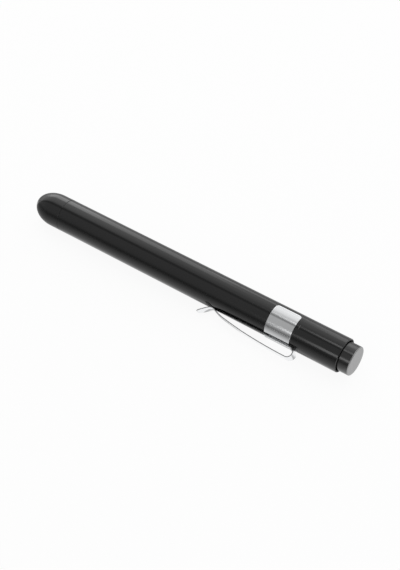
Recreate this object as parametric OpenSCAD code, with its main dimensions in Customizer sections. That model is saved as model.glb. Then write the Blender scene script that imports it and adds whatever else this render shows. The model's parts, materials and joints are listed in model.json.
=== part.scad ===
// Pocket penlight: a slim aluminium barrel with a round nose, a spring steel pocket clip and a
// click button at the tail. The nose cap holds the lamp and unscrews to let two cells in.
// The barrel lies along X with its nose towards -X, resting on z = 0 on its clip.

/* [Cells] */
// Diameter of one cell over its sleeve
cell_d = 10.5; // [9.8:0.1:11.2]
// Length of one cell from its end cap to the tip of its nub
cell_length = 44.5; // [40:0.5:50]
// Diameter of the nub
nub_d = 3.8; // [3:0.1:4.6]
// Height of the nub over the shoulder
nub_height = 0.8; // [0.6:0.05:1.2]
// Thickness of the sleeve
sleeve_thickness = 0.12; // [0.08:0.01:0.2]
// Diameter of the flat end cap
end_cap_d = 7; // [5.5:0.1:7.6]
// Width of the seal round the end cap
seal_width = 0.8; // [0.4:0.05:1]

/* [Barrel] */
// Gap between a cell and the bore
cell_clearance = 0.2; // [0.1:0.05:0.4]
// Step from the cell bore up to the wider bores at both ends
seat_step = 0.35; // [0.15:0.05:0.5]
// Wall round the wider end bores
barrel_wall = 0.75; // [0.6:0.05:1.4]
// Bevel on each side of the nose seam
seam_bevel = 0.27; // [0.1:0.01:0.4]
// Bevel on the tail rim
tail_bevel = 0.2; // [0.1:0.05:0.35]

/* [Nose] */
// Length of the nose from the tip of its dome to the seam
nose_length = 14.6; // [12.8:0.1:22]
// Length of the rounded dome
dome_length = 9.5; // [7:0.1:11]
// Bevel round the hole for the lamp
aperture_bevel = 0.25; // [0.1:0.05:0.5]
// Length of the spigot that goes into the barrel
spigot_length = 5; // [4:0.1:7]
// Length of the plain land that holds the O-ring
land_length = 1.8; // [1.4:0.1:2.2]
// Depth of the screw thread on the spigot
thread_depth = 0.3; // [0.2:0.05:0.4]
// Bore that takes the lamp holder, the board and the retainer
nose_bore_d = 8.6; // [7.6:0.1:9]
// Thickness of the O-ring's cord
o_ring_section = 0.6; // [0.4:0.05:0.7]

/* [Lamp] */
// Diameter of the lamp's dome
lamp_d = 5; // [4:0.1:5.2]
// Length of the lamp from its dome to the back of its flange
lamp_length = 8.6; // [7.6:0.1:9.5]
// Diameter of the lamp's flange
lamp_flange_d = 5.8; // [5.5:0.1:6.4]
// Thickness of the lamp's flange
lamp_flange_thickness = 1; // [0.6:0.1:1.4]
// How far the dome lies behind the tip of the nose
lamp_recess = 1.2; // [0.9:0.1:1.8]
// Distance between the two leads
lead_pitch = 2.54; // [2:0.01:2.8]
// Thickness of a lead
lead_width = 0.5; // [0.4:0.05:0.6]
// Thickness of the lamp's board
board_thickness = 1; // [0.8:0.1:1.6]
// Diameter of the board's centre contact
board_contact_d = 4; // [3.4:0.1:5]
// Height of the board's centre contact
board_contact_height = 1.3; // [1:0.1:1.8]
// Bore of the ring that holds the board
nose_retainer_bore_d = 6.2; // [5.6:0.1:6.8]

/* [Switch] */
// Room for the battery spring between the cells and the switch
battery_spring_length = 5.5; // [4.8:0.1:8]
// Wire of the battery spring
battery_wire_d = 0.55; // [0.4:0.05:0.6]
// Wide end of the battery spring, at the middle of its wire
battery_spring_d = 6.8; // [6:0.1:8]
// Thickness of the insulating switch base
base_thickness = 2; // [1.5:0.1:3]
// Thickness of the brass contact sheet
contact_sheet = 0.4; // [0.3:0.05:0.6]
// Length of the switch housing
housing_length = 13.8; // [13.4:0.1:16]
// Wall of the switch housing
housing_wall = 0.9; // [0.7:0.05:1.1]
// Thickness of the housing's rear wall
housing_end = 1.2; // [0.8:0.1:1.6]
// Length of the ring that holds the switch in the barrel
switch_retainer_length = 2; // [1.5:0.1:3]
// Diameter of the plunger's stem
stem_d = 4.6; // [4:0.1:5]
// Length of the return spring with the button out
return_spring_length = 5.4; // [5.2:0.1:5.8]
// Wire of the return spring
return_wire_d = 0.4; // [0.3:0.05:0.45]

/* [Button] */
// Travel of the button
press_travel = 2.5; // [2:0.1:2.6]
// Gap between the button and the barrel's bore
button_gap = 0.2; // [0.1:0.05:0.3]
// Length of the button inside the barrel
button_guide = 6; // [4.5:0.1:9]
// Length of the button that stands out of the barrel
button_proud = 4.5; // [3.5:0.1:6]
// Wall of the button's skirt
button_wall = 0.9; // [0.7:0.05:1.2]
// Thickness of the bare metal disc on the button's end
disc_thickness = 0.4; // [0.35:0.05:0.8]
// Bevel round the disc
disc_bevel = 0.25; // [0.1:0.05:0.3]

/* [Pocket clip] */
// Thickness of the spring steel
clip_sheet = 0.35; // [0.25:0.05:0.5]
// Length of the band along the barrel
band_length = 10.5; // [8:0.1:14]
// Angle of the barrel that the band wraps
band_wrap = 270; // [220:5:300]
// Corner radius of the band's open ends
band_corner = 1.2; // [0.6:0.1:2]
// Distance from the band's rear edge to the barrel's tail rim
band_to_tail = 19; // [14:0.1:24]
// Width of the clip at its hairpin
tongue_width = 5; // [4:0.1:6]
// Width of the clip at its lip
tip_width = 4; // [3:0.1:5]
// Corner radius of the lip
tip_corner = 1.4; // [0.8:0.1:1.5]
// How far the hairpin reaches behind the band
hairpin_reach = 1.8; // [1.5:0.1:3]
// Bend radius where the clip leaves the barrel
root_bend = 0.7; // [0.5:0.05:0.8]
// Bend radius of the hairpin's outer turn
hairpin_bend = 0.9; // [0.7:0.05:1.4]
// Radius of the long bow of the tongue
tongue_bow = 203; // [180:1:240]
// Radius of the steeper dip with which the tongue comes down to the barrel
dip_bend = 19.5; // [16:0.5:24]
// Radius of the bend that turns the lip up
lip_bend = 2.6; // [2:0.1:3.2]
// Length of the flat lip beyond that bend
lip_length = 4.6; // [3:0.1:6]
// Gap between the tongue and the barrel where the clip grips
clip_touch_gap = 0.08; // [0.05:0.01:0.15]
// Gap that splits the spring steel where it flexes
flex_gap = 0.17; // [0.15:0.01:0.3]

/* [Hidden] */
$fn = 72;

// Clearances and one overrun for all cuts
fit_clearance = 0.05;
seat_clearance = 0.02;
cut = 1;

// Diameters that follow from the cells and the walls round them
cell_bore_d = cell_d + 2 * cell_clearance;
end_bore_d = cell_bore_d + 2 * seat_step;
barrel_d = end_bore_d + 2 * barrel_wall;
barrel_r = barrel_d / 2;
spigot_r = end_bore_d / 2 - fit_clearance;
nose_module_r = nose_bore_d / 2 - fit_clearance;
switch_r = end_bore_d / 2 - fit_clearance;
button_r = end_bore_d / 2 - button_gap;
aperture_r = lamp_d / 2 + fit_clearance;

// Places along the barrel, from the tip of the nose, in the order in which the pieces stack
socket_relief = 0.3;
cell_end_gap = 0.3;
lamp_flange_x = lamp_recess + lamp_length - lamp_flange_thickness;
spigot_end_x = nose_length + spigot_length;
socket_end_x = spigot_end_x + socket_relief;
front_cell_x = spigot_end_x + cell_end_gap - nub_height;
board_back_x = front_cell_x - board_contact_height;
board_front_x = board_back_x - board_thickness;
rear_cell_x = front_cell_x + cell_length;
cells_end_x = rear_cell_x + cell_length;
rivet_flange = 0.3;
base_x = cells_end_x + battery_spring_length + rivet_flange;
earth_ring_x = base_x + base_thickness;
housing_x = earth_ring_x + contact_sheet;
housing_end_x = housing_x + housing_length;
switch_retainer_end_x = housing_end_x + switch_retainer_length;
button_over_travel = 0.5;
button_x = switch_retainer_end_x + press_travel + button_over_travel;
barrel_end_x = button_x + button_guide;
overall_length = barrel_end_x + button_proud;

// Cell end: the seal and the cap sit in a recess of the can
cell_can_r = cell_d / 2 - sleeve_thickness;
end_cap_thickness = 1;
crimp_setback = 0.4;
seal_setback = 0.2;
cell_edge = 0.4;

// Lamp frame inside the clear dome: a cup on one lead and a short post on the other
frame_top = 3.6;
cup_width = 1.6;
cup_height = 1.4;
post_width = 0.7;
frame_gap = 0.02;
lead_hole_d = 0.9;
holder_pocket_d = 6.4;
holder_pocket_depth = 1.6;
resistor_size = [0.6, 0.9, 1.7];
resistor_offset = 2.2;
spanner_slot_width = 1;
spanner_slot_depth = 0.6;
flange_flat = 2.6;

// Switch: a guide with slots, a rotor whose fins run in them and a plunger with matching cam teeth
rivet_flange_r = battery_spring_d / 2 + battery_wire_d;
battery_spring_top_d = 4.2;
battery_spring_turns = 3.5;
rivet_shank_r = 0.8;
rivet_head_r = 1.6;
earth_ring_bore_r = 3.2;
housing_bore_r = switch_r - housing_wall;
return_spring_turns = 3.5;
return_spring_gap = 0.12;
coil_sides = 6;
coil_rings_per_turn = 10;
return_spring_r = housing_bore_r - return_spring_gap - return_wire_d / 2;
contact_gap = 0.1;
moving_contact_x = housing_x + press_travel + contact_gap;
moving_contact_r = coil_inner_r(return_spring_r, return_wire_d) - return_spring_gap;
rotor_flange_x = housing_x + return_spring_length;
rotor_flange_thickness = 0.8;
rotor_flange_r = housing_bore_r - return_spring_gap;
rotor_pin_r = 1;
rotor_neck_r = 2.6;
guide_slots = 4;
guide_slot_width = 2;
guide_clearance = 0.1;
guide_bore_r = 3.5;
guide_x = rotor_flange_x + rotor_flange_thickness + press_travel / 2;
guide_end_x = housing_end_x - housing_end;
cam_r = guide_bore_r - guide_clearance;
cam_teeth = 8;
cam_tooth_half_width = 0.9;
cam_tooth_height = 0.7;
fin_overlap = 2;
fin_end_x = guide_x + fin_overlap;
cam_x = fin_end_x;
pilot_r = 1.4;
pilot_length = 2;
fin_r = housing_bore_r - guide_clearance;
fin_width = guide_slot_width - 2 * guide_clearance;
ear_start_x = cam_x + cam_tooth_height + guide_clearance;
plunger_stop_x = guide_end_x - fit_clearance;
stem_room = 0.9;
switch_retainer_bore_r = stem_d / 2 + stem_room;

// Button: a cup with a boss that is pressed on the stem
button_end_x = overall_length - disc_thickness;
button_end_wall = 1.6;
button_floor_x = button_end_x - button_end_wall;
button_boss_wall = 1.3;
button_boss_r = stem_d / 2 + button_boss_wall;
button_boss_length = 5.5;
stem_cover = 0.5;
stem_end_x = button_floor_x;
disc_pin_r = 1.5;
disc_pin_length = 0.8;

// Clip: headings run from 0, towards the nose, to 90, away from the barrel, to 180, towards the tail
bow_fall = 8;
dip_fall = 22.5;
lip_rise = 37;
band_r = barrel_r + seat_clearance;
band_top_r = band_r + clip_sheet;
band_mid_r = band_r + clip_sheet / 2;
band_end_x = barrel_end_x - band_to_tail;
band_x = band_end_x - band_length;
wall_x = band_end_x + hairpin_reach;
root_centre = [wall_x - root_bend, band_mid_r + root_bend];
lip_centre_u = barrel_r + clip_touch_gap + clip_sheet / 2 + lip_bend;
dip_centre_u = lip_centre_u - (dip_bend + lip_bend) * cos(dip_fall);
bow_centre_u = dip_centre_u - (tongue_bow - dip_bend) * cos(bow_fall);
hairpin_u = bow_centre_u + tongue_bow - hairpin_bend;
hairpin_x = wall_x - hairpin_bend;
dip_centre_x = hairpin_x - (tongue_bow - dip_bend) * sin(bow_fall);
lip_centre_x = dip_centre_x - (dip_bend + lip_bend) * sin(dip_fall);
lip_end_x = lip_centre_x - lip_bend * sin(lip_rise) - lip_length * cos(lip_rise);
lip_end_u = lip_centre_u - lip_bend * cos(lip_rise) + lip_length * sin(lip_rise);
clip_top_u = bow_centre_u + tongue_bow + clip_sheet / 2;

// Rest: the band and one edge of the clip lie on the surface, which sets the clip's angle
nose_rim_x = dome_x(aperture_r + aperture_bevel);
clip_edge_reach = norm([clip_top_u, tongue_width / 2]);
clip_drop = asin(band_top_r / clip_edge_reach) - atan2(tongue_width / 2, clip_top_u);
clip_reach_y = clip_top_u * cos(clip_drop) + tongue_width / 2 * sin(clip_drop);
rest_place = [-(nose_rim_x + overall_length) / 2, (clip_reach_y - barrel_r) / 2, band_top_r];

// Sheet outline: points of a path as [x, distance from the axis, heading], thickened to both sides
function arc_path(centre, radius, from, to, steps, side = 1) = [
    for (i = [0 : steps])
        let (heading = from + (to - from) * i / steps)
        [centre.x + side * radius * sin(heading), centre.y + side * radius * cos(heading), heading]
];

function sheet_side(path, half) = [
    for (p = path) [p.x + half * sin(p.z), p.y + half * cos(p.z)]
];

function reversed(list) = [for (i = [len(list) - 1 : -1 : 0]) list[i]];

function sheet_outline(path, thickness) =
    concat(sheet_side(path, thickness / 2), reversed(sheet_side(path, -thickness / 2)));

// Spring: points along a helix about X, and the rings of a six-sided tube round it
// Innermost reach of a coil whose rings are joined by straight stretches
function coil_inner_r(radius, wire_d) = radius * cos(180 / coil_rings_per_turn) - wire_d / 2;

function coil_point(x0, x1, r0, r1, turns, share) =
    let (radius = r0 + (r1 - r0) * share, angle = 360 * turns * share)
    [x0 + (x1 - x0) * share, radius * cos(angle), radius * sin(angle)];

function coil_line(x0, x1, r0, r1, turns) =
    let (count = ceil(turns * coil_rings_per_turn))
    [for (i = [0 : count]) coil_point(x0, x1, r0, r1, turns, i / count)];

function unit(v) = v / norm(v);

function coil_tangent(line, i) =
    unit(line[min(i + 1, len(line) - 1)] - line[max(i - 1, 0)]);

function coil_ring(line, i, wire_r) =
    let (
        along = coil_tangent(line, i),
        out = unit([0, line[i].y, line[i].z]),
        across = unit(cross(along, out)),
        up = cross(across, along)
    )
    [for (k = [0 : coil_sides - 1])
        let (a = 360 * k / coil_sides)
        line[i] + wire_r * (cos(a) * up + sin(a) * across)];

// Least gap between wire surfaces that are at least half a turn apart along the helix
function coil_gap(line, wire_d) =
    let (apart = floor(coil_rings_per_turn / 2))
    min([for (i = [0 : len(line) - 1 - apart], j = [i + apart : len(line) - 1])
        norm(line[i] - line[j])]) - wire_d;

module along_barrel() {
    rotate([0, 90, 0])
        children();
}

module in_place() {
    translate(rest_place)
        children();
}

module rod(x0, x1, radius) {
    along_barrel()
        translate([0, 0, x0])
            cylinder(h = x1 - x0, r = radius);
}

module tube(x0, x1, inner, outer) {
    difference() {
        rod(x0, x1, outer);
        rod(x0 - cut, x1 + cut, inner);
    }
}

// Revolved shape, with its outline given as points [radius, x]
module turned(outline) {
    along_barrel()
        rotate_extrude()
            polygon(outline);
}

module coil(line, wire_d) {
    rings = [for (i = [0 : len(line) - 1]) coil_ring(line, i, wire_d / 2)];
    last = (len(line) - 1) * coil_sides;
    sides = [
        for (i = [0 : len(line) - 2], k = [0 : coil_sides - 1])
            let (a = i * coil_sides + k, b = i * coil_sides + (k + 1) % coil_sides)
            each [[a, a + coil_sides, b], [b, a + coil_sides, b + coil_sides]]
    ];
    caps = [
        for (k = [1 : coil_sides - 2])
            each [[0, k, k + 1], [last, last + k + 1, last + k]]
    ];
    polyhedron([for (ring = rings) each ring], concat(sides, caps));
}

// Two slots across the end of a screwed ring, for a pin spanner
module spanner_slots(end_x, radius) {
    translate([end_x - spanner_slot_depth, -radius - cut, -spanner_slot_width / 2])
        cube([spanner_slot_depth + cut, 2 * (radius + cut), spanner_slot_width]);
}

// Nose cap: domed nose, straight collar, land with an O-ring groove and the core of the screw thread
dome_steps = 28;

// Place along the barrel at which the dome has a given radius
function dome_x(radius) = dome_length * (1 - sqrt(1 - pow(radius / barrel_r, 2)));

o_ring_r = end_bore_d / 2 - seat_clearance - o_ring_section / 2;
o_ring_x = nose_length + land_length / 2;
o_ring_groove = o_ring_section + 2 * fit_clearance;

module nose_cap() {
    land_end_x = nose_length + land_length;
    groove_floor_r = o_ring_r - o_ring_section / 2 - seat_clearance;
    rim_angle = asin((aperture_r + aperture_bevel) / barrel_r);
    dome = [
        for (i = [1 : dome_steps])
            let (angle = rim_angle + (90 - rim_angle) * i / dome_steps)
            [barrel_r * sin(angle), dome_length * (1 - cos(angle))]
    ];
    in_place() color("#1b1b1d")
        difference() {
            turned(concat(
                [[0, nose_rim_x]],
                [[aperture_r, nose_rim_x + aperture_bevel], [aperture_r + aperture_bevel, nose_rim_x]],
                dome,
                [
                    [barrel_r, nose_length - seam_bevel], [barrel_r - seam_bevel, nose_length],
                    [spigot_r, nose_length], [spigot_r, land_end_x],
                    [spigot_r - thread_depth, land_end_x + thread_depth],
                    [spigot_r - thread_depth, spigot_end_x], [0, spigot_end_x]
                ]
            ));
            rod(-cut, lamp_flange_x + cut, aperture_r);
            rod(lamp_flange_x, spigot_end_x + cut, nose_bore_d / 2);
            tube(o_ring_x - o_ring_groove / 2, o_ring_x + o_ring_groove / 2, groove_floor_r, barrel_r);
        }
}

// Lead frame: one lead ends in a cup, the other in a post; room is added for its place in the dome
module lead_frame(room) {
    top_x = lamp_recess + frame_top;
    half = lead_width / 2 + room;
    for (side = [-1, 1])
        translate([top_x, -half, side * lead_pitch / 2 - half])
            cube([board_back_x - top_x, 2 * half, 2 * half]);
    translate([top_x - room, -half, lead_pitch / 2 - cup_width + lead_width / 2 - room])
        cube([cup_height + 2 * room, 2 * half, cup_width + 2 * room]);
    translate([top_x - room, -half, -lead_pitch / 2 - lead_width / 2 - room])
        cube([cup_height + 2 * room, 2 * half, post_width + 2 * room]);
}

module led_lamp() {
    flange_end_x = lamp_recess + lamp_length;
    in_place() color("#eef2f4")
        difference() {
            union() {
                rod(lamp_recess + lamp_d / 2, flange_end_x, lamp_d / 2);
                translate([lamp_recess + lamp_d / 2, 0, 0])
                    sphere(r = lamp_d / 2);
                difference() {
                    rod(lamp_flange_x, flange_end_x, lamp_flange_d / 2);
                    translate([lamp_flange_x - cut, -lamp_flange_d, flange_flat])
                        cube([lamp_flange_thickness + 2 * cut, 2 * lamp_flange_d, lamp_flange_d]);
                }
            }
            lead_frame(frame_gap);
        }
}

module led_leads() {
    in_place() color("#c9ccd0")
        lead_frame(0);
}

module led_holder() {
    flange_seat_x = lamp_recess + lamp_length + seat_clearance;
    in_place() color("#d8d4c8")
        difference() {
            rod(lamp_flange_x, board_front_x, nose_module_r);
            rod(lamp_flange_x - cut, flange_seat_x, lamp_flange_d / 2 + fit_clearance);
            rod(board_front_x - holder_pocket_depth, board_front_x + cut, holder_pocket_d / 2);
            for (side = [-1, 1])
                translate([0, 0, side * lead_pitch / 2])
                    rod(lamp_flange_x, board_front_x, lead_hole_d / 2);
        }
}

module led_board() {
    in_place() color("#1f5a34")
        difference() {
            rod(board_front_x, board_back_x, nose_module_r);
            for (side = [-1, 1])
                translate([0, 0, side * lead_pitch / 2])
                    rod(board_front_x - cut, board_back_x + cut, lead_hole_d / 2);
        }
}

module board_resistor() {
    in_place() color("#2a2a2a")
        translate([board_front_x - resistor_size.x / 2, resistor_offset, 0])
            cube(resistor_size, center = true);
}

module board_contact() {
    edge = board_contact_height / 4;
    top_r = board_contact_d / 2;
    in_place() color("#c8a14a")
        turned([
            [0, board_back_x], [top_r, board_back_x], [top_r, front_cell_x - edge],
            [top_r - edge, front_cell_x], [0, front_cell_x]
        ]);
}

module nose_retainer() {
    end_x = spigot_end_x - fit_clearance;
    in_place() color("#b8923f")
        difference() {
            tube(board_back_x, end_x, nose_retainer_bore_d / 2, nose_module_r);
            spanner_slots(end_x, nose_module_r);
        }
}

module nose_o_ring() {
    in_place() color("#0e0e0f")
        along_barrel()
            translate([0, 0, o_ring_x])
                rotate_extrude()
                    translate([o_ring_r, 0])
                        circle(d = o_ring_section);
}

// Barrel: one tube, with a screwed socket for the nose, the cell bore and the switch bore
module barrel() {
    socket_r = end_bore_d / 2;
    cell_bore_r = cell_bore_d / 2;
    in_place() color("#1b1b1d")
        turned([
            [socket_r, nose_length], [barrel_r - seam_bevel, nose_length],
            [barrel_r, nose_length + seam_bevel], [barrel_r, barrel_end_x - tail_bevel],
            [barrel_r - tail_bevel, barrel_end_x], [socket_r + tail_bevel, barrel_end_x],
            [socket_r, barrel_end_x - tail_bevel], [socket_r, base_x], [cell_bore_r, base_x],
            [cell_bore_r, socket_end_x], [socket_r, socket_end_x]
        ]);
}

// Cell: a steel can with its nub, a sleeve lapped over both ends, a seal and a flat end cap
module cell_can(x0) {
    shoulder_x = x0 + nub_height;
    crimp_x = x0 + cell_length - crimp_setback;
    recess_x = x0 + cell_length - end_cap_thickness;
    recess_r = end_cap_d / 2 + seal_width;
    crimp_edge = min(cell_edge, (cell_can_r - recess_r) / 2);
    in_place() color("#c4c7ca")
        turned([
            [0, x0], [nub_d / 2, x0], [nub_d / 2, shoulder_x], [cell_can_r - cell_edge, shoulder_x],
            [cell_can_r, shoulder_x + cell_edge], [cell_can_r, crimp_x - crimp_edge],
            [cell_can_r - crimp_edge, crimp_x], [recess_r, crimp_x], [recess_r, recess_x], [0, recess_x]
        ]);
}

module cell_sleeve(x0, tint) {
    start_x = x0 + nub_height + cell_edge;
    end_x = x0 + cell_length - crimp_setback - cell_edge;
    in_place() color(tint)
        tube(start_x, end_x, cell_can_r, cell_d / 2);
}

module cell_seal(x0) {
    recess_x = x0 + cell_length - end_cap_thickness;
    in_place() color("#3a3d42")
        tube(recess_x, x0 + cell_length - seal_setback, end_cap_d / 2, end_cap_d / 2 + seal_width);
}

module cell_cap(x0) {
    in_place() color("#d0d2d4")
        rod(x0 + cell_length - end_cap_thickness, x0 + cell_length, end_cap_d / 2);
}

module front_cell_can() { cell_can(front_cell_x); }
module front_cell_sleeve() { cell_sleeve(front_cell_x, "#5d6670"); }
module front_cell_seal() { cell_seal(front_cell_x); }
module front_cell_cap() { cell_cap(front_cell_x); }
module rear_cell_can() { cell_can(rear_cell_x); }
module rear_cell_sleeve() { cell_sleeve(rear_cell_x, "#5d6670"); }
module rear_cell_seal() { cell_seal(rear_cell_x); }
module rear_cell_cap() { cell_cap(rear_cell_x); }

battery_line = coil_line(
    cells_end_x + battery_wire_d / 2, base_x - rivet_flange - battery_wire_d / 2,
    battery_spring_top_d / 2, battery_spring_d / 2, battery_spring_turns
);

module battery_spring() {
    in_place() color("#cfd2d5")
        coil(battery_line, battery_wire_d);
}

// Rivet: a wide flange under the battery spring, a shank through the base and a head for the contact
module centre_rivet() {
    flange_x = base_x - rivet_flange;
    in_place() color("#c8a14a")
        turned([
            [0, flange_x], [rivet_flange_r, flange_x], [rivet_flange_r, base_x], [rivet_shank_r, base_x],
            [rivet_shank_r, earth_ring_x], [rivet_head_r, earth_ring_x], [rivet_head_r, housing_x],
            [0, housing_x]
        ]);
}

module switch_base() {
    in_place() color("#8d6b45")
        tube(base_x, earth_ring_x, rivet_shank_r + seat_clearance, switch_r);
}

module earth_ring() {
    in_place() color("#b8923f")
        tube(earth_ring_x, housing_x, earth_ring_bore_r, end_bore_d / 2 - seat_clearance);
}

module switch_housing() {
    in_place() color("#e4e2da")
        difference() {
            rod(housing_x, housing_end_x, switch_r);
            rod(housing_x - cut, guide_x, housing_bore_r);
            rod(guide_x - cut, guide_end_x, guide_bore_r);
            for (k = [0 : guide_slots / 2 - 1])
                rotate([180 * k / (guide_slots / 2), 0, 0])
                    translate([guide_x - cut, -housing_bore_r, -guide_slot_width / 2])
                        cube([guide_end_x - guide_x + cut, 2 * housing_bore_r, guide_slot_width]);
            rod(guide_x, housing_end_x + cut, stem_d / 2 + guide_clearance);
        }
}

// Radial fins that run in the guide's slots
module guide_fins(x0, x1) {
    for (k = [0 : guide_slots / 2 - 1])
        rotate([180 * k / (guide_slots / 2), 0, 0])
            intersection() {
                rod(x0, x1, fin_r);
                translate([x0, -fin_r, -fin_width / 2])
                    cube([x1 - x0, 2 * fin_r, fin_width]);
            }
}

// Roof-shaped cam teeth in a ring, pointing towards the tail
module cam_ring(room) {
    half = cam_tooth_half_width + room;
    height = cam_tooth_height + room;
    for (k = [0 : cam_teeth - 1])
        rotate([360 * k / cam_teeth, 0, 0])
            linear_extrude(height = cam_r + cut)
                polygon([
                    [cam_x - cut, -half], [cam_x, -half], [cam_x + height, 0],
                    [cam_x, half], [cam_x - cut, half]
                ]);
}

return_line = coil_line(
    housing_x + return_wire_d / 2, rotor_flange_x - return_wire_d / 2,
    return_spring_r, return_spring_r, return_spring_turns
);

module return_spring() {
    in_place() color("#cfd2d5")
        coil(return_line, return_wire_d);
}

module moving_contact() {
    in_place() color("#c8a14a")
        tube(
            moving_contact_x, moving_contact_x + contact_sheet,
            rotor_pin_r + seat_clearance, moving_contact_r
        );
}

module switch_rotor() {
    contact_back_x = moving_contact_x + contact_sheet;
    body_x = rotor_flange_x + rotor_flange_thickness;
    pilot_end_x = cam_x - pilot_length - guide_clearance;
    in_place() color("#c9513f")
        difference() {
            union() {
                rod(moving_contact_x + fit_clearance, contact_back_x, rotor_pin_r);
                rod(contact_back_x, rotor_flange_x, rotor_neck_r);
                rod(rotor_flange_x, body_x, rotor_flange_r);
                rod(body_x, cam_x, cam_r);
                guide_fins(body_x, fin_end_x);
                intersection() {
                    rod(cam_x, cam_x + cam_tooth_height, cam_r);
                    cam_ring(0);
                }
            }
            rod(pilot_end_x, cam_x + cam_tooth_height + cut, pilot_r + guide_clearance);
        }
}

module switch_plunger() {
    in_place() color("#d9a441")
        union() {
            difference() {
                rod(cam_x + seat_clearance, plunger_stop_x, cam_r);
                cam_ring(seat_clearance);
            }
            guide_fins(ear_start_x, plunger_stop_x);
            rod(cam_x - pilot_length, plunger_stop_x, pilot_r);
            rod(plunger_stop_x, stem_end_x - stem_cover, stem_d / 2);
        }
}

module switch_retainer() {
    in_place() color("#9a9da1")
        difference() {
            tube(housing_end_x, switch_retainer_end_x, switch_retainer_bore_r, switch_r);
            spanner_slots(switch_retainer_end_x, switch_r);
        }
}

module push_button() {
    boss_x = button_floor_x - button_boss_length;
    disc_hole_x = button_end_x - disc_pin_length - fit_clearance;
    in_place() color("#1b1b1d")
        difference() {
            rod(button_x, button_end_x, button_r);
            tube(button_x - cut, button_floor_x, button_boss_r, button_r - button_wall);
            rod(button_x - cut, boss_x, button_r - button_wall);
            rod(boss_x - cut, stem_end_x, stem_d / 2 + seat_clearance);
            rod(disc_hole_x, button_end_x + cut, disc_pin_r + seat_clearance);
        }
}

module button_disc() {
    in_place() color("#a0a1a3")
        turned([
            [0, button_end_x - disc_pin_length], [disc_pin_r, button_end_x - disc_pin_length],
            [disc_pin_r, button_end_x], [button_r, button_end_x],
            [button_r, overall_length - disc_bevel], [button_r - disc_bevel, overall_length],
            [0, overall_length]
        ]);
}

// The clip is drawn with its tongue towards -Y and then turned down on to the surface
module clip_in_place() {
    in_place()
        rotate([clip_drop, 0, 0])
            children();
}

// Part of a revolved sheet, centred on the tongue
module clip_sector(outline, sweep) {
    along_barrel()
        rotate([0, 0, -90 - sweep / 2])
            rotate_extrude(angle = sweep)
                polygon(outline);
}

// What is cut off one corner of the band to round it
module band_corner_cut(edge_x, inward, end_angle, turn) {
    corner_middle = (band_corner - cut) / 2;
    rotate([end_angle, 0, 0])
        translate([edge_x, 0, 0])
            rotate([90, 0, 0])
                linear_extrude(height = band_top_r + cut)
                    difference() {
                        translate([inward * corner_middle, turn * corner_middle])
                            square(band_corner + cut, center = true);
                        translate([inward * band_corner, turn * band_corner])
                            circle(r = band_corner);
                    }
}

// Band, root and upright of the clip: a rolled C, a tab that follows the barrel and a flat wall
module clip_band() {
    upright_r = norm([hairpin_u, tongue_width / 2]) + cut;
    path = concat(
        [[band_x, band_mid_r, 180]],
        arc_path(root_centre, root_bend, 180, 90, 8),
        [[wall_x, upright_r, 90]]
    );
    outline = [for (p = sheet_outline(path, clip_sheet)) [p.y, p.x]];
    clip_in_place() color("#d5d7da")
        difference() {
            clip_sector(outline, band_wrap);
            difference() {
                translate([band_end_x, -upright_r - cut, -upright_r - cut])
                    cube([hairpin_reach + cut, 2 * (upright_r + cut), 2 * (upright_r + cut)]);
                translate([band_end_x - cut, -hairpin_u, -tongue_width / 2])
                    cube([hairpin_reach + 3 * cut, hairpin_u, tongue_width]);
            }
            for (turn = [-1, 1]) {
                band_corner_cut(band_x, 1, -turn * band_wrap / 2, turn);
                band_corner_cut(band_end_x, -1, -turn * band_wrap / 2, turn);
            }
        }
}

// Tongue of the clip: the hairpin's outer turn, the bow, the dip and the lip, cut to a tapered plan
module clip_tongue() {
    split = asin(flex_gap / hairpin_bend);
    path = concat(
        arc_path([hairpin_x, hairpin_u], hairpin_bend, 90 - split, 0, 12),
        arc_path([hairpin_x, bow_centre_u], tongue_bow, 0, -bow_fall, 16),
        arc_path([dip_centre_x, dip_centre_u], dip_bend, -bow_fall, -dip_fall, 8),
        arc_path([lip_centre_x, lip_centre_u], lip_bend, -dip_fall, lip_rise, 12, -1),
        [[lip_end_x, lip_end_u, lip_rise]]
    );
    side_view = [for (p = sheet_outline(path, clip_sheet)) [p.x, -p.y]];
    tail_x = wall_x + clip_sheet;
    tip_x = lip_end_x - clip_sheet / 2;
    corner_x = tip_x + tip_corner;
    corner_w = tip_width / 2 - tip_corner;
    plan = concat(
        [[tail_x, -tongue_width / 2], [tail_x, tongue_width / 2]],
        [for (a = [0 : 10 : 90]) [corner_x - tip_corner * sin(a), corner_w + tip_corner * cos(a)]],
        [for (a = [90 : -10 : 0]) [corner_x - tip_corner * sin(a), -corner_w - tip_corner * cos(a)]]
    );
    clip_in_place() color("#d5d7da")
        intersection() {
            linear_extrude(height = tongue_width + cut, center = true)
                polygon(side_view);
            rotate([90, 0, 0])
                linear_extrude(height = clip_top_u + cut)
                    polygon(plan);
        }
}

echo(battery_spring_gap = coil_gap(battery_line, battery_wire_d));
echo(return_spring_gap = coil_gap(return_line, return_wire_d));

nose_cap();
led_lamp();
led_leads();
led_holder();
led_board();
board_resistor();
board_contact();
nose_retainer();
nose_o_ring();
barrel();
front_cell_can();
front_cell_sleeve();
front_cell_seal();
front_cell_cap();
rear_cell_can();
rear_cell_sleeve();
rear_cell_seal();
rear_cell_cap();
battery_spring();
centre_rivet();
switch_base();
earth_ring();
switch_housing();
return_spring();
moving_contact();
switch_rotor();
switch_plunger();
switch_retainer();
push_button();
button_disc();
clip_band();
clip_tongue();
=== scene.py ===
import json
import math

import bmesh
import bpy
from mathutils import Matrix, Vector


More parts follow.
